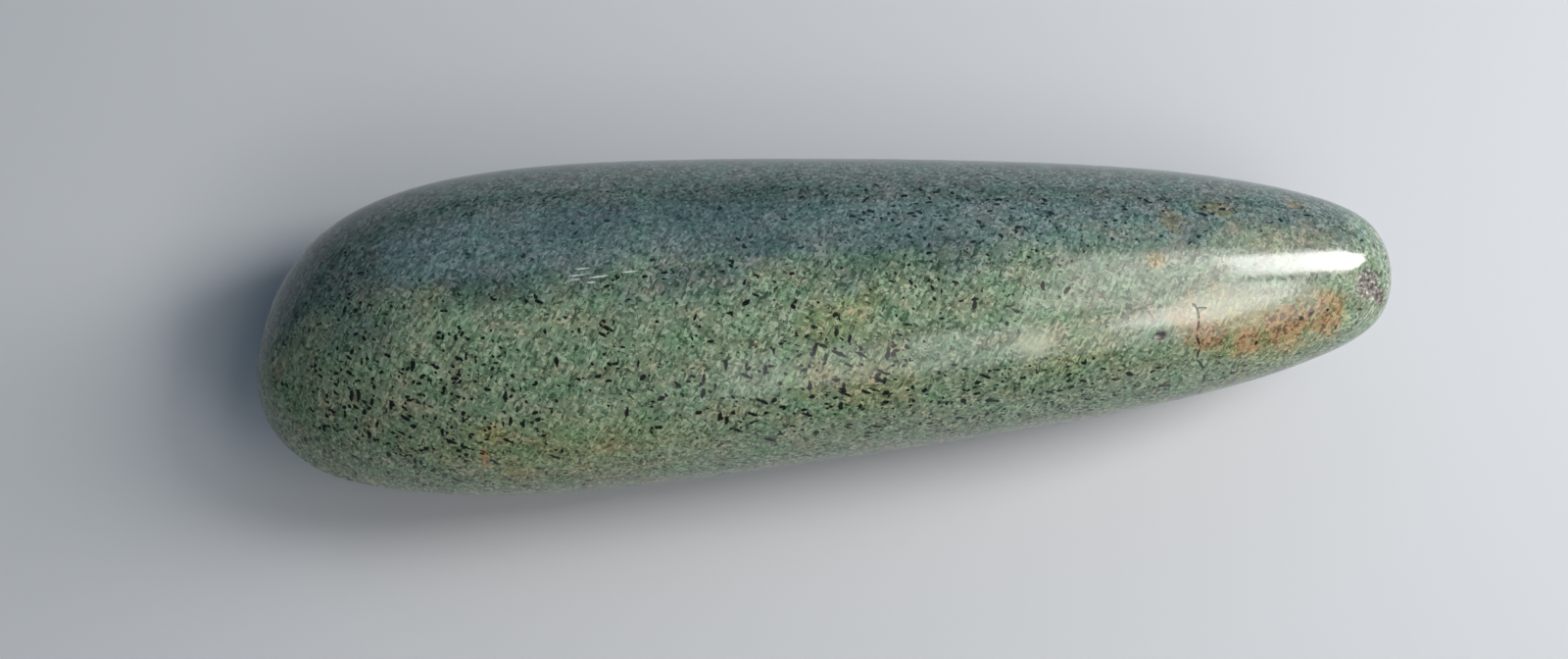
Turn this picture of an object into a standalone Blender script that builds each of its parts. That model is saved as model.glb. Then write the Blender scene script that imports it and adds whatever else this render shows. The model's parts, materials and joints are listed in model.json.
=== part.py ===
"""A polished stone axe head, lying on its broad face. Metres, +Z up.

The head is one solid stone. Its cutting edge points along -X and its rounded butt along +X,
the broad faces look up and down, and the origin is under the middle of the stone on the
surface that it lies on.
"""

import math

import bmesh
import bpy
import numpy as np
from mathutils import Vector

# Driving dimensions
LENGTH = 0.180  # from the tip of the cutting edge to the end of the butt
WIDTH = 0.0523  # across the body, where it is widest
THICKNESS = 0.040  # through the body, from the resting flat to the top
REST_CUT = 0.00035  # depth ground away underneath, which leaves the resting flat
SCAR_RADIUS = 0.0026  # the crushed spot on the end of the butt
SCAR_DEPTH = 0.00045
SCAR_FROM_BUTT = 0.0054  # along the stone, from the end of the butt to the scar's middle

# Where the scar sits round the section: 90 degrees is the top and 180 degrees the -Y side
SCAR_ANGLE = math.radians(106)

# The part of the thickness that lies above the line of the cutting edge
TOP_SHARE = 0.52

# The free form, each a list of (share of the length from the cutting edge, value).
# An ellipsoid has a fullness of 1 all along: more is fuller than that, less is leaner.
PLAN_FULLNESS = [
    (0.00, 1.69), (0.05, 1.57), (0.10, 1.43), (0.20, 1.23), (0.33, 1.055),
    (0.50, 0.92), (0.70, 0.87), (0.85, 0.905), (0.91, 0.95), (0.95, 1.03),
    (0.98, 1.19), (1.00, 1.38),
]
SIDE_FULLNESS = [
    (0.00, 1.07), (0.02, 1.055), (0.05, 1.125), (0.09, 1.19), (0.14, 1.20),
    (0.25, 1.115), (0.35, 1.045), (0.45, 1.003), (0.60, 0.983), (0.75, 1.005),
    (0.90, 1.09), (1.00, 1.28),
]
# How far the middle line of the plan leaves the straight axis, as a share of the width
MIDDLE_LINE = [
    (0.00, -0.110), (0.02, -0.080), (0.05, -0.056), (0.10, -0.034), (0.20, -0.020),
    (0.35, -0.013), (0.50, -0.008), (0.75, -0.004), (1.00, -0.002),
]
# How keen the section's -Y side is: 0 is an oval, and near 1 the two faces meet in an edge.
# The edge is sharpest at that corner of the blade, and the +Y side stays an oval.
EDGE_KEENNESS = [
    (0.00, 0.34), (0.06, 0.30), (0.12, 0.18), (0.20, 0.06), (0.30, 0.01),
    (0.45, 0.00), (1.00, 0.00),
]

# The block that the form is worked from: slices along it, across it and through it
SLICES_ALONG = 58
SLICES_ACROSS = 14
SLICES_THROUGH = 12
CAP_ANGLE = math.radians(65.5)  # angle from the middle at which the block's sides end
SLICES_NEAR_SCAR = 3  # what each edge that lies near the scar is sliced into
SCAR_REACH = 1.5  # how near that is, in radii of the scar
SCAR_FLATNESS = 4  # power of the bowl's profile: the higher, the flatter its floor
CUT_TOLERANCE = 1e-6
POLE_RADIUS = 1e-9  # nearer the axis than this, a direction counts as one along it
PEAK_STATIONS = 401  # places along the stone that are tried for its widest


def natural_spline(points):
    """A smooth function through the points: the curve a draughtsman's spline takes."""
    s = np.array([p[0] for p in points])
    v = np.array([p[1] for p in points])
    gap = np.diff(s)
    slope = np.diff(v) / gap
    count = len(points)
    matrix = np.eye(count)
    right = np.zeros(count)
    for i in range(1, count - 1):
        matrix[i, i - 1:i + 2] = gap[i - 1], 2 * (gap[i - 1] + gap[i]), gap[i]
        right[i] = 6 * (slope[i] - slope[i - 1])
    bend = np.linalg.solve(matrix, right)

    def value(at):
        i = int(min(max(np.searchsorted(s, at) - 1, 0), count - 2))
        before, after = at - s[i], s[i + 1] - at
        return (
            (bend[i] * after**3 + bend[i + 1] * before**3) / (6 * gap[i])
            + (v[i] / gap[i] - bend[i] * gap[i] / 6) * after
            + (v[i + 1] / gap[i] - bend[i + 1] * gap[i] / 6) * before
        )

    return value


def with_unit_peak(fullness):
    """The fullness scaled so that the form just reaches its stated width or thickness."""
    stations = np.linspace(0, 1, PEAK_STATIONS)
    peak = max(2 * math.sqrt(s * (1 - s)) * fullness(s) for s in stations)
    return lambda station: fullness(station) / peak


plan_fullness = with_unit_peak(natural_spline(PLAN_FULLNESS))
side_fullness = with_unit_peak(natural_spline(SIDE_FULLNESS))
middle_line = natural_spline(MIDDLE_LINE)
edge_keenness = natural_spline(EDGE_KEENNESS)


def on_the_stone(direction):
    """The point of the stone's surface that answers to a direction from its middle."""
    radius = math.hypot(direction.y, direction.z)
    station = (1 + direction.x) / 2
    across, up = 0.0, 0.0
    if radius > POLE_RADIUS:
        across, up = direction.y / radius, direction.z / radius
    half_width = WIDTH / 2 * radius * plan_fullness(station)
    if up > 0:
        half_height = THICKNESS * TOP_SHARE
    else:
        half_height = THICKNESS * (1 - TOP_SHARE) + REST_CUT
    half_height *= radius * side_fullness(station)
    lift = math.copysign(abs(up) ** (1 + edge_keenness(station) * (1 - across)), up)
    return Vector((
        LENGTH * (station - 0.5),
        WIDTH * middle_line(station) + half_width * across,
        half_height * lift,
    ))


def station_direction(station, angle):
    """The direction that answers to a share of the length and an angle round the section."""
    along = 2 * station - 1
    radius = math.sqrt(1 - along**2)
    return Vector((along, radius * math.cos(angle), radius * math.sin(angle)))


def block_direction(corner):
    """A direction for a point of the sliced block, spaced by equal angles."""
    return Vector((
        math.tan(corner.x * CAP_ANGLE),
        math.tan(corner.y * math.pi / 4),
        math.tan(corner.z * math.pi / 4),
    )).normalized()


def sliced_block():
    """A cube of half-side 1, cut right through by parallel planes on each axis."""
    bm = bmesh.new()
    bmesh.ops.create_cube(bm, size=2)
    for axis, slices in enumerate((SLICES_ALONG, SLICES_ACROSS, SLICES_THROUGH)):
        normal = Vector((0, 0, 0))
        normal[axis] = 1
        for i in range(1, slices):
            bmesh.ops.bisect_plane(
                bm,
                geom=bm.verts[:] + bm.edges[:] + bm.faces[:],
                dist=CUT_TOLERANCE,
                plane_co=normal * (2 * i / slices - 1),
                plane_no=normal,
            )
    return bm


def refine_near_the_scar(bm, scar):
    """Cuts the faces near the scar finer, so that it keeps its round outline."""
    near = [
        face for face in bm.faces
        if (on_the_stone(block_direction(face.calc_center_median())) - scar).length
        < SCAR_REACH * SCAR_RADIUS
    ]
    edges = list({edge for face in near for edge in face.edges})
    cuts = SLICES_NEAR_SCAR - 1
    bmesh.ops.subdivide_edges(bm, edges=edges, cuts=cuts, use_grid_fill=True)


def sink_the_scar(bm, scar):
    """Presses a shallow bowl with a flat floor into the end of the butt."""
    bm.normal_update()
    pressed = []
    for vert in bm.verts:
        share = (vert.co - scar).length / SCAR_RADIUS
        if share < 1:
            depth = SCAR_DEPTH * (1 - share**SCAR_FLATNESS)
            pressed.append((vert, vert.normal.copy(), depth))
    for vert, outward, depth in pressed:
        vert.co -= outward * depth


def grind_the_resting_flat(bm):
    """Cuts the underside off level and closes it with one flat face."""
    lowest = min(vert.co.z for vert in bm.verts)
    level = lowest + REST_CUT
    cut = bmesh.ops.bisect_plane(
        bm,
        geom=bm.verts[:] + bm.edges[:] + bm.faces[:],
        dist=CUT_TOLERANCE,
        plane_co=(0, 0, level),
        plane_no=(0, 0, -1),
        clear_outer=True,
    )
    rim = [item for item in cut["geom_cut"] if isinstance(item, bmesh.types.BMEdge)]
    bmesh.ops.edgeloop_fill(bm, edges=rim)


def set_on_the_origin(bm):
    """Moves the stone so that the origin is under the middle of its box."""
    corners = np.array([vert.co for vert in bm.verts])
    low, high = corners.min(0), corners.max(0)
    middle = Vector(((low[0] + high[0]) / 2, (low[1] + high[1]) / 2, low[2]))
    bmesh.ops.translate(bm, verts=bm.verts, vec=-middle)


def greenstone():
    """Polished green stone."""
    material = bpy.data.materials.new("greenstone")
    material.use_nodes = True
    shader = material.node_tree.nodes["Principled BSDF"]
    shader.inputs["Base Color"].default_value = (0.125, 0.165, 0.110, 1)
    shader.inputs["Roughness"].default_value = 0.28
    shader.inputs["Metallic"].default_value = 0.0
    return material


def axe_head():
    """The whole stone, from sliced block to finished solid."""
    scar = on_the_stone(station_direction(1 - SCAR_FROM_BUTT / LENGTH, SCAR_ANGLE))
    bm = sliced_block()
    refine_near_the_scar(bm, scar)
    for vert in bm.verts:
        vert.co = on_the_stone(block_direction(vert.co))
    sink_the_scar(bm, scar)
    grind_the_resting_flat(bm)
    set_on_the_origin(bm)
    bmesh.ops.recalc_face_normals(bm, faces=bm.faces)
    bmesh.ops.triangulate(bm, faces=[face for face in bm.faces if len(face.verts) > 4])
    mesh = bpy.data.meshes.new("axe_head")
    bm.to_mesh(mesh)
    bm.free()
    mesh.shade_smooth()
    head = bpy.data.objects.new("axe_head", mesh)
    head.data.materials.append(greenstone())
    bpy.context.scene.collection.objects.link(head)
    return head


for old in list(bpy.data.objects):
    bpy.data.objects.remove(old)
axe_head()
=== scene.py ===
# %% [markdown]
# # A polished stone axe head
#
# This lesson dresses a plain solid of a neolithic axe head until it looks like the real stone.
# The real object is one pebble-smooth piece of greenstone, about 180 mm long: a tough rock
# felted together from needle-like green crystals, with black laths of a darker mineral in it.
# A toolmaker pecked it to shape, ground it on wet sandstone and polished it, so it has no
# corner anywhere except the crushed spot near the end of the butt.
#
# The solid comes from a CAD model. We load it first, because the finished stone is made from
# a copy of it, and every place below is a place on it, in millimetres.

import json
import math

import bpy
from mathutils import Matrix, Vector, noise

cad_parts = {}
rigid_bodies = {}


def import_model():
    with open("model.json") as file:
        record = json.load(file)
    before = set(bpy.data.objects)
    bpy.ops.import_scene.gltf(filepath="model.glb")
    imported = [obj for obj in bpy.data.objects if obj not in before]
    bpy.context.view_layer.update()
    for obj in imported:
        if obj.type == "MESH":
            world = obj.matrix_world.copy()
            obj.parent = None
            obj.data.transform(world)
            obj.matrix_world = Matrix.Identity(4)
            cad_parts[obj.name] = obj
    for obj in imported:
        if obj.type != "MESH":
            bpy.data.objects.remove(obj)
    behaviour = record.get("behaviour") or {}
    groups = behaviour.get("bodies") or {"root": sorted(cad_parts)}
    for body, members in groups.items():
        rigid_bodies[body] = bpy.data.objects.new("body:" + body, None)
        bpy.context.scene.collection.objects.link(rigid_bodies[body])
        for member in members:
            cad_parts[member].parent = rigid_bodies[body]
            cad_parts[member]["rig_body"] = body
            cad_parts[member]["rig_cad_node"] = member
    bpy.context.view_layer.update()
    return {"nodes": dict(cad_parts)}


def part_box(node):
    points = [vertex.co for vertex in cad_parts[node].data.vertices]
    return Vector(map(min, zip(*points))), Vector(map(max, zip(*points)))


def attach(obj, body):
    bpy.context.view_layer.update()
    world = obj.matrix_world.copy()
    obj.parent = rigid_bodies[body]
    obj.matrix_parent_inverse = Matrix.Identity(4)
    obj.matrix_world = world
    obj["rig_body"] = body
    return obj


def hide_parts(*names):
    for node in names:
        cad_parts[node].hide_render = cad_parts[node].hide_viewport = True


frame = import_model()
solid = frame["nodes"]["axe_head"]
lowest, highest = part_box("axe_head")
MM = 0.001
length, width, thickness = highest - lowest
print(f"the stone is {length / MM:.1f} x {width / MM:.1f} x {thickness / MM:.1f} mm")

# %% [markdown]
# ## The camera
#
# The picture was taken from almost straight above, with the stone's axis tilted a little in
# the frame. A camera's place is easy to get wrong with angles, so we build its three axes by
# hand: right, up and back, and then roll the first two about the third. A lens of 49 mm on a
# 36 mm sensor sees 40 degrees across, about what a telephone's main camera does.

# %% Place the camera
AIM = Vector((-6.42, -2.65, 20.0)) * MM
DISTANCE = 339.94 * MM
ELEVATION = math.radians(80)
ROLL = math.radians(3.642)
VIEW_ACROSS = math.radians(40)
SENSOR = 36.0
NEAREST_SEEN = 10 * MM

back = Vector((0, -math.cos(ELEVATION), math.sin(ELEVATION)))
right = Vector((1, 0, 0))
up = back.cross(right)
rolled_right = right * math.cos(ROLL) - up * math.sin(ROLL)
rolled_up = right * math.sin(ROLL) + up * math.cos(ROLL)

bpy.ops.object.camera_add()
camera = bpy.context.active_object
camera.name = "camera"
camera.data.sensor_width = SENSOR
camera.data.sensor_fit = "HORIZONTAL"
camera.data.lens = SENSOR / 2 / math.tan(VIEW_ACROSS / 2)
camera.data.clip_start = NEAREST_SEEN
camera_axes = Matrix((rolled_right, rolled_up, back)).transposed().to_4x4()
camera.matrix_world = Matrix.Translation(AIM + back * DISTANCE) @ camera_axes
bpy.context.scene.camera = camera
print(f"lens {camera.data.lens:.2f} mm, {DISTANCE / MM:.0f} mm from the stone")

# %% [markdown]
# ## The light and the floor
#
# Polished stone is mostly a mirror of the room, so its lights are placed by asking what each
# part of the surface mirrors. The long white streak on the butt mirrors a bright window to
# the right. The broad pale veil below it mirrors a dimmer wall in front and the ceiling. A
# weak fill from the front lights the body evenly, and daylight from behind gives the far
# flank its cool tint. Each of the five is an area light: a rectangle that shines, placed by
# the direction in which the stone sees it, with the strength of its surface given here and
# its power worked out from its size. They hang close, so the butt gets more than the blade.
#
# The window has a grid in front, as studio lamps have, which keeps its light on the stone
# and off the floor below it. Blender makes up in the middle for what a grid takes from the
# sides, so the power is divided by that gain.

# %% Hang the lights
BUTT_RIDGE = Vector((60, 0, 34)) * MM
STONE_MIDDLE = Vector((0, 0, 34)) * MM
NO_GRID = 180


def hang_light(name, seen_from, towards, distance, width_runs, angles, brightness, colour,
               grid=NO_GRID):
    """An area light whose width and height are angles as seen from a point of the stone."""
    bpy.ops.object.light_add(type="AREA")
    light = bpy.context.active_object
    light.name = name
    outward = Vector(towards).normalized()
    upright = outward.cross(Vector(width_runs)).normalized()
    axes = Matrix((upright.cross(outward), upright, outward)).transposed().to_4x4()
    light.matrix_world = Matrix.Translation(seen_from + outward * distance) @ axes
    light.data.shape = "RECTANGLE"
    light.data.size = 2 * distance * math.tan(math.radians(angles[0] / 2))
    light.data.size_y = 2 * distance * math.tan(math.radians(angles[1] / 2))
    light.data.energy = brightness * math.pi * light.data.size * light.data.size_y
    light.data.color = colour
    if grid < NO_GRID:
        half = math.radians(grid / 2)
        light.data.spread = 2 * half
        light.data.energy *= (math.tan(half) - half) / math.tan(half)
    print(f"{name}: {light.data.size:.2f} x {light.data.size_y:.2f} m, {light.data.energy:.1f} W")


PALE = (1.0, 0.97, 0.93)
hang_light(
    "window", BUTT_RIDGE, towards=(0.82, 0.17, 0.545), distance=0.55,
    width_runs=(-0.2, 0.98, 0), angles=(20, 49), brightness=21, colour=(1, 0.99, 0.97), grid=90,
)
hang_light(
    "pale_wall", BUTT_RIDGE, towards=(0.532, -0.414, 0.738), distance=0.65,
    width_runs=(0.50, 0.77, 0.40), angles=(32, 13), brightness=6.5, colour=PALE,
)
hang_light(
    "pale_ceiling", BUTT_RIDGE, towards=(0.40, 0, 0.92), distance=0.80,
    width_runs=(0.10, 0.99, 0), angles=(46, 20), brightness=2.6, colour=PALE,
)
hang_light(
    "front_fill", STONE_MIDDLE, towards=(0.42, -0.64, 0.64), distance=1.1,
    width_runs=(1, 0, 0), angles=(50, 30), brightness=1.8, colour=(0.95, 0.98, 1),
)
hang_light(
    "daylight_behind", STONE_MIDDLE, towards=(0, 0.80, 0.60), distance=1.5,
    width_runs=(1, 0, 0), angles=(80, 45), brightness=0.5, colour=(0.35, 0.68, 1),
)

ROOM_COLOUR = (0.60, 0.72, 0.85, 1)
ROOM_STRENGTH = 0.09

room = bpy.data.worlds.new("room")
room.use_nodes = True
room.node_tree.nodes["Background"].inputs["Color"].default_value = ROOM_COLOUR
room.node_tree.nodes["Background"].inputs["Strength"].default_value = ROOM_STRENGTH
bpy.context.scene.world = room
bpy.context.scene.view_settings.view_transform = "Standard"

# %% Lay the floor
FLOOR_SIDE = 6.0
PAPER_COLOUR = (0.45, 0.46, 0.48, 1)
PAPER_ROUGHNESS = 0.9

bpy.ops.object.select_all(action="DESELECT")
bpy.ops.mesh.primitive_plane_add(size=FLOOR_SIDE, location=(0, 0, 0))
floor = bpy.context.active_object
floor.name = "floor"
paper = bpy.data.materials.new("pale_paper")
paper.use_nodes = True
paper_shader = paper.node_tree.nodes["Principled BSDF"]
paper_shader.inputs["Base Color"].default_value = PAPER_COLOUR
paper_shader.inputs["Roughness"].default_value = PAPER_ROUGHNESS
floor.data.materials.append(paper)
print("floor laid at the height that the stone rests on")

# %% [markdown]
# ## The body of the stone
#
# The solid is faceted, like a stone that has only been roughed out. Copying it keeps the
# outline, which is the one thing that has to be right, and a subdivision surface then does
# what the grinding slab did: it takes every facet down to one continuous curve. It needs
# clean quads to work on, so the loose triangles are merged and paired first. The flat that
# the stone rests on is the one place that has to stay crisp, and a crease round it does that.

# %% Copy the solid and give it clean faces
POINT_MERGE = 0.001 * MM
FLAT_LEVEL = 0.002 * MM
PAIRING_ANGLE = math.radians(60)
SMOOTH_LEVELS = 2

bpy.ops.object.select_all(action="DESELECT")
stone = solid.copy()
stone.data = solid.data.copy()
stone.name = stone.data.name = "polished_stone"
bpy.context.scene.collection.objects.link(stone)
stone.parent = None
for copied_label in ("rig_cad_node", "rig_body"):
    del stone[copied_label]
stone.select_set(True)
bpy.context.view_layer.objects.active = stone


def select_faces(piece, wanted):
    """Leaves edit mode's selection as the faces for which wanted(face) is true."""
    bpy.ops.object.mode_set(mode="OBJECT")
    count = 0
    piece.data.vertices.foreach_set("select", [False] * len(piece.data.vertices))
    piece.data.edges.foreach_set("select", [False] * len(piece.data.edges))
    for face in piece.data.polygons:
        face.select = wanted(face)
        count += face.select
    bpy.ops.object.mode_set(mode="EDIT")
    bpy.ops.mesh.select_mode(type="FACE")
    return count


bpy.ops.object.mode_set(mode="EDIT")
bpy.ops.mesh.select_all(action="SELECT")
bpy.ops.mesh.remove_doubles(threshold=POINT_MERGE)
bpy.ops.mesh.tris_convert_to_quads(face_threshold=PAIRING_ANGLE, shape_threshold=PAIRING_ANGLE)
under = select_faces(stone, lambda face: face.center.z < FLAT_LEVEL)
bpy.ops.mesh.dissolve_faces()
bpy.ops.mesh.region_to_loop()
bpy.ops.transform.edge_crease(value=1)
bpy.ops.object.mode_set(mode="OBJECT")
print(f"{len(stone.data.polygons)} faces, {under} of them became the resting flat")

# %% Smooth it as the grinding slab did
smooth = stone.modifiers.new("smooth", "SUBSURF")
smooth.levels = smooth.render_levels = SMOOTH_LEVELS
bpy.ops.object.modifier_apply(modifier=smooth.name)
bpy.ops.object.shade_smooth()
print(f"{len(stone.data.polygons)} faces after smoothing")

# %% [markdown]
# ## What hand grinding leaves
#
# No hand-ground stone is as true as a turned one. Long strokes on the slab leave faint flats
# that run along the axe, less than a tenth of a millimetre deep. They can't be seen as shape,
# but they bend every reflection, and without them the stone looks like glass. A Displace
# modifier with soft noise makes them. The noise is stretched along the stone by reading it
# from an empty that is longer than it is wide, and it only ever takes stone away, as
# grinding does.

# %% Grind faint flats along the body
FACET_DEPTH = 0.10 * MM
FACET_LENGTH = 38 * MM
FACET_WIDTH = 11 * MM
KEPT_BELOW = 1.5 * MM
ONLY_INWARDS = 1.0


def weigh_points(piece, name, weight):
    """A vertex group whose weight at each point is weight(place). Returns its name."""
    group = piece.vertex_groups.new(name=name)
    for vertex in piece.data.vertices:
        share = weight(vertex.co)
        if share > 0:
            group.add([vertex.index], share, "REPLACE")
    return name


def press(piece, group, texture, depth, middle, guide=None):
    """Displaces the group's points along their normals by the texture, and applies it."""
    bpy.context.view_layer.objects.active = piece
    change = piece.modifiers.new("press", "DISPLACE")
    change.texture = texture
    change.vertex_group = group
    change.strength = depth
    change.mid_level = middle
    if guide is not None:
        change.texture_coords = "OBJECT"
        change.texture_coords_object = guide
    bpy.ops.object.modifier_apply(modifier=change.name)
    piece.vertex_groups.remove(piece.vertex_groups[group])


def ease(value, low, high):
    """0 at low and 1 at high, with a soft start and end."""
    share = min(max((value - low) / (high - low), 0), 1)
    return share * share * (3 - 2 * share)


bpy.ops.object.empty_add(location=(0, 0, 0))
stretch = bpy.context.active_object
stretch.scale = (FACET_LENGTH, FACET_WIDTH, FACET_WIDTH)
strokes = bpy.data.textures.new("strokes", "CLOUDS")
strokes.noise_scale = 1.0
strokes.noise_depth = 1
rubbed = weigh_points(stone, "rubbed", lambda place: ease(place.z, FLAT_LEVEL, KEPT_BELOW))
press(stone, rubbed, strokes, FACET_DEPTH, ONLY_INWARDS, stretch)
bpy.data.objects.remove(stretch)
print(f"flats up to {FACET_DEPTH / MM:.2f} mm deep")

# %% [markdown]
# ## The crushed spot, the pit and the crack
#
# The butt took a blow near its end, which crushed a spot 5 mm across to rough crystals. The
# solid has the shallow bowl, and here its floor gets its crumbled surface. Further down the
# butt there is a small pit where a grain fell out, and a hairline crack that runs down over
# the flank. Their detail is finer than the faces of the body, so the faces round them are
# subdivided first, only there, and the points are then pressed in.

# %% Say where the damage is
SCAR = Vector((84.6, -2.8, 27.3)) * MM
SCAR_RADIUS = 2.9 * MM
CRUMB_SIZE = 1.1 * MM
CRUMB_DEPTH = 0.55 * MM
CRUMB_MIDDLE = 0.25
PIT = Vector((50.4, -9.6, 33.9)) * MM
PIT_LENGTH = 1.15 * MM
PIT_WIDTH = 0.65 * MM
PIT_DEPTH = 0.16 * MM
CRACK = [
    Vector(place) * MM for place in (
        (55.1, -5.3, 35.1), (56.1, -6.0, 34.7), (56.3, -7.6, 33.9), (55.8, -9.5, 33.0),
        (56.4, -11.4, 31.7), (56.1, -13.0, 30.2), (57.6, -14.6, 27.8), (57.8, -16.4, 23.6),
        (57.3, -17.3, 19.0),
    )
]
CRACK_WIDTH = 0.16 * MM
CRACK_DEPTH = 0.07 * MM
EDGE_RAGGEDNESS = 0.35
RAGGED_SIZE = 0.9 * MM


def crack_distance(place):
    """How far a point lies from the crack's line."""
    nearest = math.inf
    for start, end in zip(CRACK, CRACK[1:]):
        along = end - start
        share = min(max((place - start).dot(along) / along.length_squared, 0), 1)
        nearest = min(nearest, (place - start - along * share).length)
    return nearest


# %% Make the faces near the damage fine
def refine(piece, near, cuts):
    """Subdivides the faces whose middle is near."""
    count = select_faces(piece, lambda face: near(face.center))
    bpy.ops.mesh.subdivide(number_cuts=cuts)
    bpy.ops.object.mode_set(mode="OBJECT")
    return count


near_scar = 1.2 * SCAR_RADIUS
near_pit = 2 * PIT_LENGTH
near_crack = 5 * CRACK_WIDTH
fine = refine(stone, lambda place: (place - SCAR).length < near_scar, cuts=2)
fine += refine(stone, lambda place: (place - PIT).length < near_pit, cuts=3)
fine += refine(stone, lambda place: crack_distance(place) < near_crack, cuts=3)
print(f"{fine} faces cut finer, {len(stone.data.polygons)} in all")


# %% Press in the crumbled floor, the pit and the crack
def scar_weight(place):
    """1 over the crushed floor, with a ragged edge."""
    raggedness = EDGE_RAGGEDNESS * noise.noise(place / RAGGED_SIZE)
    return 1 - ease((place - SCAR).length / SCAR_RADIUS + raggedness, 0.75, 1.05)


def pit_weight(place):
    """1 in the middle of the pit, whose long way runs along the stone."""
    offset = place - PIT
    across = math.hypot(offset.y, offset.z)
    return 1 - ease(math.hypot(offset.x / PIT_LENGTH, across / PIT_WIDTH), 0.4, 1.0)


def crack_weight(place):
    """1 on the crack's line, fading over its width."""
    return 1 - ease(crack_distance(place), 0, CRACK_WIDTH)


crumbs = bpy.data.textures.new("crumbs", "VORONOI")
crumbs.noise_scale = CRUMB_SIZE
crumbs.distance_metric = "DISTANCE"
press(stone, weigh_points(stone, "scar", scar_weight), crumbs, -CRUMB_DEPTH, CRUMB_MIDDLE)
press(stone, weigh_points(stone, "pit", pit_weight), None, -PIT_DEPTH, 0.0)
press(stone, weigh_points(stone, "crack", crack_weight), None, -CRACK_DEPTH, 0.0)
bpy.ops.object.select_all(action="DESELECT")
print(f"the finished stone has {len(stone.data.vertices)} points")

# %% [markdown]
# ## Writing shader maths as Python
#
# The stone's colour is worked out from its place in the rock, with hundreds of nodes. To
# keep that readable, a small class wraps a socket and overloads the arithmetic signs, so
# that an expression such as `1 - mask * 0.5` adds its own Math nodes. Any other node comes
# from one method, `node`, which takes the node's type, its settings and its sockets.


# %% A socket that does arithmetic
class Port:
    """An output socket of one material's nodes, with Python's arithmetic."""

    def __init__(self, finish, socket):
        self.finish = finish
        self.socket = socket

    def maths(self, operation, first, second):
        sockets = {"Value": first, "Value_001": second}
        return self.finish.node("ShaderNodeMath", {"operation": operation}, sockets)

    def __add__(self, other):
        return self.maths("ADD", self, other)

    __radd__ = __add__

    def __sub__(self, other):
        return self.maths("SUBTRACT", self, other)

    def __rsub__(self, other):
        return self.maths("SUBTRACT", other, self)

    def __mul__(self, other):
        return self.maths("MULTIPLY", self, other)

    __rmul__ = __mul__

    def larger(self, other):
        return self.maths("MAXIMUM", self, other)

    def output(self, number):
        """Another output of the node that this one comes from."""
        return Port(self.finish, self.socket.node.outputs[number])

    def rise(self, low, high):
        """0 below low, 1 above high, and a soft slope between. Low may be the higher one."""
        sockets = {"Value": self, "From Min": low, "From Max": high}
        settings = {"interpolation_type": "SMOOTHSTEP"}
        return self.finish.node("ShaderNodeMapRange", settings, sockets)


class Finish:
    """A material whose nodes are added one call at a time."""

    def __init__(self, name):
        self.material = bpy.data.materials.new(name)
        self.material.use_nodes = True
        self.tree = self.material.node_tree
        self.shader = self.tree.nodes["Principled BSDF"]

    def connect(self, node, name, value):
        socket = next(s for s in node.inputs if name in (s.identifier, s.name))
        if isinstance(value, Port):
            self.tree.links.new(value.socket, socket)
        else:
            socket.default_value = value

    def node(self, kind, settings=None, sockets=None, output=0):
        made = self.tree.nodes.new(kind)
        for name, value in (settings or {}).items():
            setattr(made, name, value)
        for name, value in (sockets or {}).items():
            self.connect(made, name, value)
        return Port(self, made.outputs[output])

    def mix(self, factor, first, second, blend="MIX"):
        """Two colours mixed by a factor."""
        settings = {"data_type": "RGBA", "blend_type": blend}
        sockets = {"Factor_Float": factor, "A_Color": first, "B_Color": second}
        return self.node("ShaderNodeMix", settings, sockets, output=2)


print("an expression on ports now adds its own nodes")

# %% [markdown]
# ## Reading the rock
#
# A pattern in stone runs through the whole rock, and the polished surface is a slice of it.
# So every pattern here is a solid one: it reads the object's own coordinates, scaled to
# millimetres. A Mapping node of the texture kind shrinks, turns and shifts the rock before
# the pattern is read, which is how one kind of cell becomes a long thin crystal.

# %% Coordinates and patterns in millimetres
stone_finish = Finish("greenstone_polished")
texture_place = stone_finish.node("ShaderNodeTexCoord", output=3)


def laid(place, centre=(0, 0, 0), turn=(0, 0, 0), size=(1, 1, 1)):
    """The place as seen from a pattern with that centre, turn in degrees and size."""
    sockets = {
        "Vector": place,
        "Location": centre,
        "Rotation": [math.radians(angle) for angle in turn],
        "Scale": size,
    }
    return stone_finish.node("ShaderNodeMapping", {"vector_type": "TEXTURE"}, sockets)


def clouds(place, size, detail, roughness=0.5):
    """Soft noise about 0.5, with features of that many millimetres."""
    sockets = {"Vector": place, "Scale": 1 / size, "Detail": detail, "Roughness": roughness}
    return stone_finish.node("ShaderNodeTexNoise", None, sockets)


def cells(place):
    """Cells one unit across: output 0 is the distance to the middle, 1 a random colour."""
    return stone_finish.node("ShaderNodeTexVoronoi", None, {"Vector": place, "Scale": 1.0})


def along(vector, operation="DOT_PRODUCT", other=(1, 0, 0), output=1):
    """A number from a vector: by default its first part."""
    sockets = {"Vector": vector, "Vector_001": other}
    return stone_finish.node("ShaderNodeVectorMath", {"operation": operation}, sockets, output)


rock = laid(texture_place, size=(MM, MM, MM))
print("one unit of the rock's coordinates is one millimetre")

# %% [markdown]
# ## The felted ground
#
# Under a lens the green ground is a felt of short fibres, a third of a millimetre wide and
# about one long, that lie across each other in all directions. Stretched cells, each with a
# random colour, make one layer of such fibres. Of that colour, the first part is the
# fibre's shade, the second says whether it lies on top, and the third is its hue: some
# fibres are greener and some more tan. A warp of fine noise keeps them from looking like
# bricks.

# %% Fibres
WANDER_SIZE = 0.9
WANDER = 0.45
FIBRE_LAYERS = [
    ((15, 20, 24), 0.76, 0.38),
    ((-20, 10, -32), 0.88, 0.37),
    ((10, -15, 60), 1.10, 0.35),
]
GRAIN_SIZE = 0.62
GRAIN_SHARE = 0.2

mix = stone_finish.mix


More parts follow.
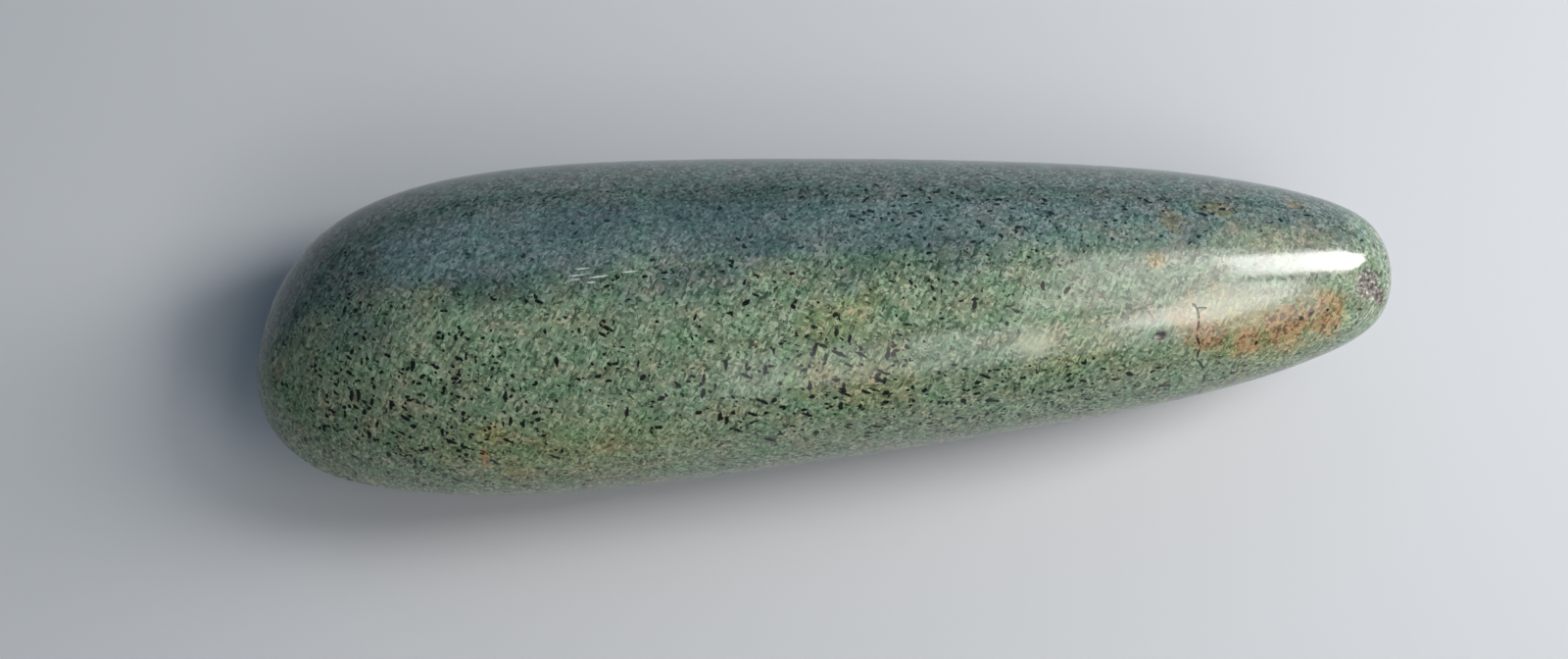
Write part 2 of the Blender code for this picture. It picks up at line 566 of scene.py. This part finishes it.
def warped(place, size, amount):
    """The place pushed about by fine noise, so that straight edges wander."""
    sockets = {"Vector": place, "Scale": 1 / size, "Detail": 1.0}
    push = stone_finish.node("ShaderNodeTexNoise", None, sockets, output=1)
    centred = stone_finish.node(
        "ShaderNodeVectorMath", {"operation": "SUBTRACT"},
        {"Vector": push, "Vector_001": (0.5, 0.5, 0.5)},
    )
    return stone_finish.node(
        "ShaderNodeVectorMath", {"operation": "MULTIPLY_ADD"},
        {"Vector": centred, "Vector_001": (amount,) * 3, "Vector_002": place},
    )


def second(colour):
    """The second part of a random colour."""
    return along(colour, other=(0, 1, 0))


def third(colour):
    """The third part of a random colour."""
    return along(colour, other=(0, 0, 1))


wandering = warped(rock, WANDER_SIZE, WANDER)


def fibres(turn, long, wide):
    """A random colour for each fibre of a layer that lies in that direction."""
    return cells(laid(wandering, turn=turn, size=(long, wide, wide))).output(1)


felt_colour, *upper_layers = [fibres(*layer) for layer in FIBRE_LAYERS]
for upper in upper_layers:
    felt_colour = mix(second(upper).rise(0.50, 0.62), felt_colour, upper)
grain = clouds(rock, GRAIN_SIZE, detail=1.0)
felt = along(felt_colour) * (1 - GRAIN_SHARE) + grain.rise(0.3, 0.7) * GRAIN_SHARE
hue = third(felt_colour)
print(f"the felt is {len(FIBRE_LAYERS)} layers of fibres laid across each other")

# %% [markdown]
# ## The broad zones
#
# The upper flank is greyer, bluer and darker than the lower one. That is partly the rock's
# colour and partly painted: painted shade and a painted cool reflection laid over the far
# flank. It has darker clouds in it, and the lower flank has an olive warmth in places; these
# are differences in the rock. The zones are many millimetres across, and they shade into each
# other. A few soft blots of a stated place and size, with a ragged edge from noise, say where
# each one is.


# %% Blots
def blot(centre, size, turn, soft, ragged):
    """1 inside an oval blot of that centre and half-size in millimetres, with a ragged edge."""
    inside = laid(rock, centre=centre, turn=(0, 0, turn), size=size)
    reach = along(inside, "LENGTH") + (edge_noise - 0.5) * (2 * ragged)
    return reach.rise(1 + soft / 2, 1 - soft / 2)


def strongest(masks):
    """The largest of several masks."""
    whole = masks[0]
    for other in masks[1:]:
        whole = whole.larger(other)
    return whole


ZONE_WANDER = 22
ZONE_RAGGEDNESS = 9
GREY_AND_PAINTED_SHADE_STARTS = -3.5
GREY_AND_PAINTED_SHADE_IS_FULL = 8.0

edge_noise = clouds(rock, 3.2, detail=3.0, roughness=0.62)
broad_noise = clouds(laid(rock, size=(1.8, 1.0, 1.0)), 9.0, detail=3.0, roughness=0.55)
# The grey side darkens and cools the far flank: partly the rock's colour, partly painted shade
# and a painted cool reflection.
to_the_back = along(rock, other=(-0.02, 1, 0))
zone_edge = (broad_noise - 0.5) * ZONE_WANDER + (edge_noise - 0.5) * ZONE_RAGGEDNESS
grey_and_painted_shade_side = (to_the_back + zone_edge).rise(GREY_AND_PAINTED_SHADE_STARTS, GREY_AND_PAINTED_SHADE_IS_FULL)
dark_clouds = strongest([
    blot((-13, 14, 35), (13, 4.5, 6), 3, soft=1.1, ragged=1.0),
    blot((13, 4.5, 38), (12, 3.4, 5), 3, soft=1.1, ragged=1.0),
    blot((-10, 8, 39), (6, 2.2, 5), -8, soft=1.2, ragged=1.0),
    blot((-53, 3, 38), (8, 2.6, 5), -8, soft=1.2, ragged=1.0),
    blot((-35, 13, 37), (9, 2.8, 5), 5, soft=1.2, ragged=1.0),
])
olive = strongest([
    blot((69.0, 4.8, 33.0), (10, 2.4, 5), -8, soft=1.2, ragged=0.9),
    blot((37, -10, 35), (7, 4, 6), 10, soft=1.2, ragged=0.9),
    blot((6, -13, 35), (6, 6, 6), 0, soft=1.2, ragged=1.0),
    blot((2, -5, 39), (6, 3, 6), 20, soft=1.2, ragged=1.0),
    blot((-42, -21, 29), (18, 5, 8), 0, soft=1.2, ragged=1.0),
    blot((-2, -12, 37), (4, 4, 6), 0, soft=1.2, ragged=1.0),
])
tan_noise = clouds(laid(rock, centre=(40, 20, 10), size=(1.5, 1.0, 1.0)), 3.6, detail=3.0)
print("zones laid: a grey side, dark clouds and olive warmth")

# %% [markdown]
# ## Black laths
#
# The black strokes are crystals of a dark mineral, up to 3 mm long and about a quarter as
# wide, that lie at all angles in the rock and crowd together in places. A cell stretched to
# a crystal's proportions holds one lath at its middle, if its random number says that there
# is one. The slice through it makes some long, some short and some mere dots, as in the
# real stone. Five sets in five directions fill the rock, each with a density of its own,
# and the clean rock near the butt has few.

# %% Laths
SHORTEST_REACH = 0.16
REACH_SPREAD = 0.26
CROWDING_PULL = 1.1
CLEAN_ROCK_PULL = 0.3

crowding = clouds(rock, 6.0, detail=3.0, roughness=0.65)
crowded = strongest([
    blot((-64, -14, 31), (19, 11, 12), 8, soft=1.0, ragged=0.9),
    blot((-4, -14, 35), (15, 7, 10), 8, soft=1.0, ragged=0.9),
    blot((26, -17, 31), (24, 3.5, 8), 8, soft=1.0, ragged=0.9),
])
fine_crowd = blot((32, 11, 34), (34, 9, 12), 3, soft=1.0, ragged=0.7)
front = 1 - grey_and_painted_shade_side
clean_rock = blot((66, -5, 32), (30, 9, 12), 0, soft=0.8, ragged=0.6)
lath_place = warped(rock, 0.7, 0.44)


def laths(turn, long, wide, share):
    """Dark crystals: 1 on a lath. Share says how many of the cells hold one."""
    there = cells(laid(lath_place, turn=turn, size=(long, wide, wide)))
    chance = second(there.output(1))
    reach = along(there.output(1)) * REACH_SPREAD + SHORTEST_REACH
    likely = (crowding - 0.5) * CROWDING_PULL + share - clean_rock * CLEAN_ROCK_PULL
    present = (likely - chance).rise(-0.02, 0.02)
    return (reach - there).rise(-0.02, 0.08) * present


some = front * 0.06
black = strongest([
    laths((12, 25, 38), 4.2, 1.02, crowded * 0.32 + some),
    laths((-18, 15, -25), 3.6, 0.94, crowded * 0.28 + some),
    laths((10, -22, 80), 3.0, 1.00, crowded * 0.28 + some),
    laths((8, 12, 5), 1.7, 0.78, fine_crowd * 0.20 + crowded * 0.10 + some + 0.04),
    laths((20, -12, -55), 1.3, 0.80, fine_crowd * 0.14 + crowded * 0.14 + front * 0.08 + 0.04),
])
print("laths laid in five directions")

# %% [markdown]
# ## Stains and the pale spot
#
# Where the rock weathered, iron left rust on the butt and small ochre flecks above it. It
# soaked into some fibres and not into others, so up close a stain is a network of specks
# that get fewer towards its edge. The ochre is thinner, and only tints the fibres. A cream
# spot marks a patch of paler mineral. Each is a blot at its own place.

# %% Stains
SPECKLE_PULL = 1.8
RUST_PULL = 0.50
RUST_FREE = 0.42

rust = strongest([
    blot((57.5, -9.8, 32.5), (4.2, 2.4, 5), -14, soft=1.0, ragged=0.8),
    blot((64.0, -10.6, 30.3), (2.6, 2.6, 4), 30, soft=1.0, ragged=0.8),
    blot((70.2, -8.6, 30.2), (3.6, 3.9, 5), -20, soft=1.0, ragged=0.7),
    blot((77.0, -7.4, 28.4), (3.2, 3.6, 5), -25, soft=1.0, ragged=0.7),
    blot((-53.0, -21.2, 29.7), (0.7, 1.9, 3), 0, soft=0.8, ragged=0.5),
])
ochre = strongest([
    blot((66.0, -9.4, 31.0), (15, 4.6, 7), -14, soft=1.2, ragged=0.9),
    blot((53.3, 7.7, 35.0), (1.8, 2.0, 3), 10, soft=0.9, ragged=0.7),
    blot((60.7, 9.5, 32.9), (3.2, 1.2, 3), -8, soft=0.9, ragged=0.8),
    blot((73.8, 10.4, 28.9), (1.4, 1.0, 3), 0, soft=0.9, ragged=0.7),
    blot((50.2, 1.4, 36.6), (1.5, 1.1, 3), 0, soft=1.0, ragged=0.8),
    blot((-51.3, -18.2, 33.0), (1.5, 1.3, 3), 0, soft=1.4, ragged=1.0) * 0.6,
    blot((-48.7, -23.2, 27.8), (1.8, 1.4, 3), 0, soft=1.4, ragged=1.0) * 0.6,
])
speckle = clouds(rock, 0.6, detail=3.0, roughness=0.65)
rust_reach = (speckle - 0.5) * SPECKLE_PULL + rust * RUST_PULL - RUST_FREE
rust_specks = rust_reach.rise(-0.10, 0.14)
pale_spot = blot((30.9, -10.0, 36.0), (2.8, 1.8, 4), 5, soft=1.6, ragged=0.25)
pinkish = blot((64, -2, 34), (26, 8, 12), 0, soft=1.0, ragged=0.8)
print("stains laid: rust in specks, ochre as a tint")

# %% [markdown]
# ## Lines and single marks
#
# A few fine parallel scratches show white where something scraped the polish. The crack
# shows as a dark line with a short arm at its top, thin brown veins lie near it, and the
# butt has some single black grains. One function draws them all: a thin line between two
# places that fades at its ends. The crushed scar and the little pit are blots again.


# %% Scratches, crack, veins and grains
def stroke(place, start, end, half_width):
    """1 on a thin line between two places in millimetres, fading at its ends."""
    start, end = Vector(start), Vector(end)
    run = end - start
    turn = math.degrees(math.atan2(run.y, run.x))
    half_size = (run.length / 2, half_width, STROKE_DEPTH)
    inside = laid(place, (start + end) / 2, (0, 0, turn), half_size)
    return along(inside, "LENGTH").rise(1.0, 0.55)


STROKE_DEPTH = 1.5
SCRATCH_HALF_WIDTH = 0.13
CRACK_HALF_WIDTH = 0.22
CRACK_ARM_HALF_WIDTH = 0.18
VEIN_HALF_WIDTH = 0.24
SCRATCHES = [
    ((-38.6, 4.1, 39.3), (-35.2, 4.2, 39.4)),
    ((-35.4, 3.6, 39.4), (-31.8, 3.8, 39.6)),
    ((-38.1, 3.5, 39.4), (-36.2, 3.5, 39.5)),
    ((-35.6, 2.9, 39.6), (-33.9, 2.9, 39.6)),
    ((-30.2, 4.1, 39.6), (-27.2, 4.2, 39.6)),
    ((-37.2, 5.1, 39.2), (-34.4, 5.2, 39.3)),
]
CRACK_ARM = ((56.1, -6.1, 34.6), (57.6, -5.9, 34.4))
VEINS = [
    ((48.0, -5.4, 35.9), (49.5, -4.9, 35.9)),
    ((48.0, -5.4, 35.9), (49.8, -8.4, 34.7)),
    ((40.7, -2.5, 37.5), (42.4, -5.1, 36.9)),
]
# The ends of each grain and its half-width
GRAINS = [
    ((72.1, -8.0, 30.0), (73.1, -7.6, 30.0), 0.42),
    ((73.6, -7.5, 29.9), (74.9, -6.8, 29.9), 0.24),
    ((76.6, -6.8, 29.3), (77.3, -6.4, 29.3), 0.24),
    ((65.1, -11.3, 29.5), (65.9, -10.9, 29.5), 0.30),
    ((82.2, -6.5, 26.6), (83.1, -6.3, 26.6), 0.28),
    ((81.9, -8.5, 25.1), (82.5, -8.1, 25.1), 0.26),
    ((78.3, -9.2, 26.6), (78.9, -8.8, 26.6), 0.24),
    ((55.2, 3.6, 35.5), (56.2, 4.4, 35.5), 0.26),
    ((83.3, 4.1, 27.8), (84.3, 4.4, 27.8), 0.34),
    ((85.6, 3.7, 26.4), (86.3, 3.3, 26.4), 0.28),
    ((65.2, 0.0, 34.1), (65.8, 0.4, 34.1), 0.26),
    ((49.9, -9.9, 33.8), (51.1, -9.4, 33.8), 0.52),
]
wavering = warped(rock, 1.6, 0.5)
scratches = strongest([
    stroke(rock, start, end, SCRATCH_HALF_WIDTH) for start, end in SCRATCHES
])
crack_line = strongest([
    stroke(wavering, start / MM, end / MM, CRACK_HALF_WIDTH)
    for start, end in zip(CRACK, CRACK[1:])
] + [stroke(wavering, *CRACK_ARM, CRACK_ARM_HALF_WIDTH)])
veins = strongest([stroke(wavering, start, end, VEIN_HALF_WIDTH) for start, end in VEINS])
grains = strongest([stroke(wavering, *grain_line) for grain_line in GRAINS])
bruise = strongest([
    blot((84.4, -2.6, 27.5), (2.2, 2.1, 3.4), 30, soft=0.5, ragged=0.9),
    blot((86.3, -4.2, 25.2), (1.2, 1.5, 2.4), 30, soft=0.5, ragged=0.9),
    blot((50.4, -9.7, 33.8), (1.2, 0.7, 1.5), 10, soft=0.5, ragged=0.5),
])
print(f"{len(SCRATCHES)} scratches, {len(GRAINS)} single grains, {len(CRACK)} parts of the crack")

# %% [markdown]
# ## Putting the colour together
#
# The ground colour is built as a painter would: the felt from dark to pale green, each fibre
# turned a little towards tan or towards blue-green, tinted by the zones, of which the grey side
# is partly painted shade and painted cool reflection, then the stains, and last the black laths
# and the damage over all of it.

# %% Colour
DEEP_GREEN = (0.038, 0.062, 0.039, 1)
MID_GREEN = (0.137, 0.191, 0.121, 1)
PALE_GREEN = (0.300, 0.368, 0.262, 1)
TAN_TINT = (1.24, 0.98, 0.97, 1)
COOL_TINT = (0.82, 1.00, 0.90, 1)
# Partly the rock's grey, partly painted shade and a painted cool reflection on the far flank
GREY_AND_PAINTED_SHADE_TINT = (0.55, 0.57, 0.80, 1)
CLOUD_TINT = (0.60, 0.66, 0.68, 1)
OLIVE_TINT = (1.18, 1.01, 0.79, 1)
PINKISH_GREY = (0.200, 0.190, 0.170, 1)
OCHRE_TINT = (1.34, 1.00, 0.72, 1)
RUST = (0.330, 0.200, 0.112, 1)
DARK_RUST = (0.110, 0.052, 0.034, 1)
CREAM = (0.38, 0.40, 0.29, 1)
BLACK_MINERAL = (0.002, 0.003, 0.003, 1)
BRUISED = (0.150, 0.125, 0.105, 1)
CRYSTAL = (0.480, 0.460, 0.420, 1)
VEIN_BROWN = (0.110, 0.075, 0.070, 1)
SCRAPED = (0.62, 0.64, 0.62, 1)
# How strongly each goes over what is under it
CLOUDS_COVER = 0.8
OLIVE_COVERS = 0.7
PINKISH_COVERS = 0.28
OCHRE_UNDER_RUST = 0.9
RUST_COVERS = 0.9
SPOT_COVERS = 0.6
LATHS_COVER = 0.97
BRUISE_COVERS = 0.95
VEINS_COVER = 0.8
CRACK_COVERS = 0.9
SCRATCHES_COVER = 0.8
# How much the broad mottle changes the shade, and each fibre and broad patch the warmth
MOTTLE_SHARE = 0.45
FIBRE_WARMTH = 0.6
BROAD_WARMTH = 2.6


def tinted(colour, amount, tint):
    """The colour multiplied by a tint, as strongly as amount says."""
    return mix(amount, colour, mix(1.0, colour, tint, "MULTIPLY"))


mottle = clouds(rock, 2.4, detail=3.0, roughness=0.6)
shade = felt + (mottle - 0.5) * MOTTLE_SHARE
warmth = (hue - 0.5) * FIBRE_WARMTH + (tan_noise - 0.5) * BROAD_WARMTH
ground = mix(shade.rise(0.02, 0.52), DEEP_GREEN, MID_GREEN)
ground = mix(shade.rise(0.50, 1.02), ground, PALE_GREEN)
ground = tinted(ground, warmth.rise(-0.05, 0.65), TAN_TINT)
ground = tinted(ground, warmth.rise(0.05, -0.65), COOL_TINT)
# Painted shade and a painted cool reflection on the far flank, over the rock's own grey
ground = tinted(ground, grey_and_painted_shade_side, GREY_AND_PAINTED_SHADE_TINT)
ground = tinted(ground, dark_clouds * CLOUDS_COVER, CLOUD_TINT)
ground = tinted(ground, olive * OLIVE_COVERS, OLIVE_TINT)
ground = mix(pinkish * PINKISH_COVERS, ground, PINKISH_GREY)
stained = tinted(ground, ochre.larger(rust * OCHRE_UNDER_RUST), OCHRE_TINT)
rust_colour = mix(shade.rise(0.15, 0.60), DARK_RUST, RUST)
stained = mix(rust_specks * RUST_COVERS, stained, rust_colour)
stained = mix(pale_spot * SPOT_COVERS, stained, CREAM)
marked = mix(black * (1 - pale_spot) * LATHS_COVER, stained, BLACK_MINERAL)
crumb = clouds(rock, 0.6, detail=3.0, roughness=0.7)
bruised = mix(crumb.rise(0.44, 0.54), BLACK_MINERAL, BRUISED)
bruised = mix(crumb.rise(0.60, 0.68), bruised, CRYSTAL)
marked = mix(bruise * BRUISE_COVERS, marked, bruised)
marked = mix(veins * VEINS_COVER, marked, VEIN_BROWN)
marked = mix(crack_line.larger(grains) * CRACK_COVERS, marked, BLACK_MINERAL)
marked = mix(scratches * edge_noise.rise(0.38, 0.60) * SCRATCHES_COVER, marked, SCRAPED)
print(f"{len(stone_finish.tree.nodes)} nodes make the colour")

# %% [markdown]
# ## Polish
#
# The polish is good but worn. The gloss varies a little with the felt and in broad patches,
# and the crushed places are matt. The fibres stand a few thousandths of a millimetre above
# or below each other, which breaks up the edges of every reflection. That is far too fine
# for the mesh, so a Bump node gives it.

# %% Polish and surface
POLISH = 0.15
POLISH_VARIES = 0.10
BRUISE_IS_MATT = 0.45
SCRATCHES_ARE_MATT = 0.25
LATHS_ARE_MATT = 0.06
REFRACTION = 1.60
BUMP_HEIGHT = 0.010 * MM
# Shares of the bump's height
FELT_RISES = 0.5
LATHS_SINK = 0.8
BRUISE_SINKS = 3.0
CRACK_SINKS = 4.0

roughness = (felt - 0.5) * POLISH_VARIES + (broad_noise - 0.5) * POLISH_VARIES + POLISH
roughness = roughness + bruise * BRUISE_IS_MATT
roughness = roughness + scratches * SCRATCHES_ARE_MATT + black * LATHS_ARE_MATT
height = felt * FELT_RISES + mottle - black * LATHS_SINK
height = height - bruise * BRUISE_SINKS - crack_line * CRACK_SINKS
bump = stone_finish.node(
    "ShaderNodeBump", None,
    {"Strength": 1.0, "Distance": BUMP_HEIGHT, "Height": height},
)
stone_finish.connect(stone_finish.shader, "Base Color", marked)
stone_finish.connect(stone_finish.shader, "Roughness", roughness)
stone_finish.connect(stone_finish.shader, "Normal", bump)
stone_finish.shader.inputs["IOR"].default_value = REFRACTION
stone.data.materials.clear()
stone.data.materials.append(stone_finish.material)
print("the stone has its finish")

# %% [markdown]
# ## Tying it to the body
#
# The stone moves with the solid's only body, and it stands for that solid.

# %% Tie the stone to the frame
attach(stone, "root")
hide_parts("axe_head")
